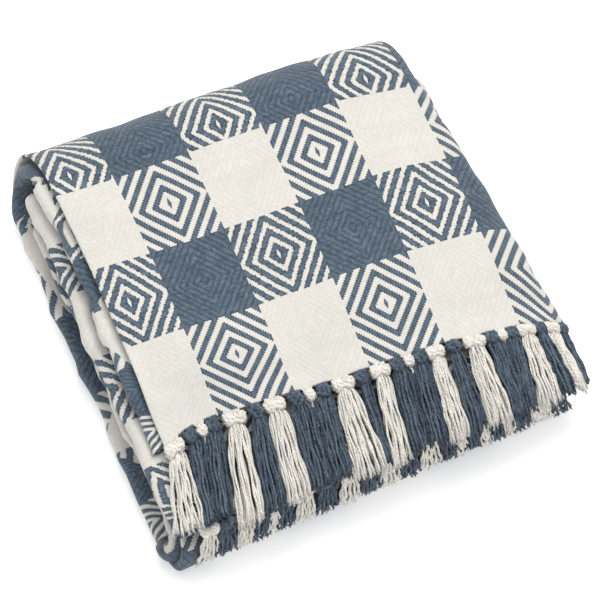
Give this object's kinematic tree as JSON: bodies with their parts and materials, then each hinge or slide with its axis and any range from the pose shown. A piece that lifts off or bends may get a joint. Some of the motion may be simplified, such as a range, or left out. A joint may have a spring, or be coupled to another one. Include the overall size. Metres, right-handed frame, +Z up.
{
  "type": "folded woven throw blanket",
  "caption": "Heavy woven cotton throw in blue and cream check, folded into a thick square stack with knotted tassels along its front.",
  "frame": {"origin": "centre of the box round the whole stack, on the surface it rests on", "axes": "+X along the fringed edges, -Y to the fringed front, +Z up"},
  "size_m": [0.4826, 0.508, 0.1241],
  "materials": {
    "check_cloth": "heavy matt cotton, diamond twill in slate blue and cream check",
    "cream_yarn": "matt twisted cotton yarn, cream",
    "blue_yarn": "matt twisted cotton yarn, slate blue"
  },
  "bodies": {
    "root": {"cloth": "check_cloth", "tassel_lower_blue_02": "blue_yarn", "tassel_lower_blue_04": "blue_yarn", "tassel_lower_blue_06": "blue_yarn", "tassel_lower_blue_08": "blue_yarn", "tassel_lower_blue_10": "blue_yarn", "tassel_lower_blue_12": "blue_yarn", "tassel_lower_blue_14": "blue_yarn", "tassel_lower_blue_16": "blue_yarn", "tassel_lower_blue_18": "blue_yarn", "tassel_lower_blue_20": "blue_yarn", "tassel_lower_blue_22": "blue_yarn", "tassel_lower_cream_01": "cream_yarn", "tassel_lower_cream_03": "cream_yarn", "tassel_lower_cream_05": "cream_yarn", "tassel_lower_cream_07": "cream_yarn", "tassel_lower_cream_09": "cream_yarn", "tassel_lower_cream_11": "cream_yarn", "tassel_lower_cream_13": "cream_yarn", "tassel_lower_cream_15": "cream_yarn", "tassel_lower_cream_17": "cream_yarn", "tassel_lower_cream_19": "cream_yarn", "tassel_lower_cream_21": "cream_yarn", "tassel_upper_blue_02": "blue_yarn", "tassel_upper_blue_04": "blue_yarn", "tassel_upper_blue_06": "blue_yarn", "tassel_upper_blue_08": "blue_yarn", "tassel_upper_blue_10": "blue_yarn", "tassel_upper_blue_12": "blue_yarn", "tassel_upper_blue_14": "blue_yarn", "tassel_upper_blue_16": "blue_yarn", "tassel_upper_blue_18": "blue_yarn", "tassel_upper_blue_20": "blue_yarn", "tassel_upper_blue_22": "blue_yarn", "tassel_upper_blue_24": "blue_yarn", "tassel_upper_blue_26": "blue_yarn", "tassel_upper_cream_01": "cream_yarn", "tassel_upper_cream_03": "cream_yarn", "tassel_upper_cream_05": "cream_yarn", "tassel_upper_cream_07": "cream_yarn", "tassel_upper_cream_09": "cream_yarn", "tassel_upper_cream_11": "cream_yarn", "tassel_upper_cream_13": "cream_yarn", "tassel_upper_cream_15": "cream_yarn", "tassel_upper_cream_17": "cream_yarn", "tassel_upper_cream_19": "cream_yarn", "tassel_upper_cream_21": "cream_yarn", "tassel_upper_cream_23": "cream_yarn", "tassel_upper_cream_25": "cream_yarn"}
  },
  "joints": []
}
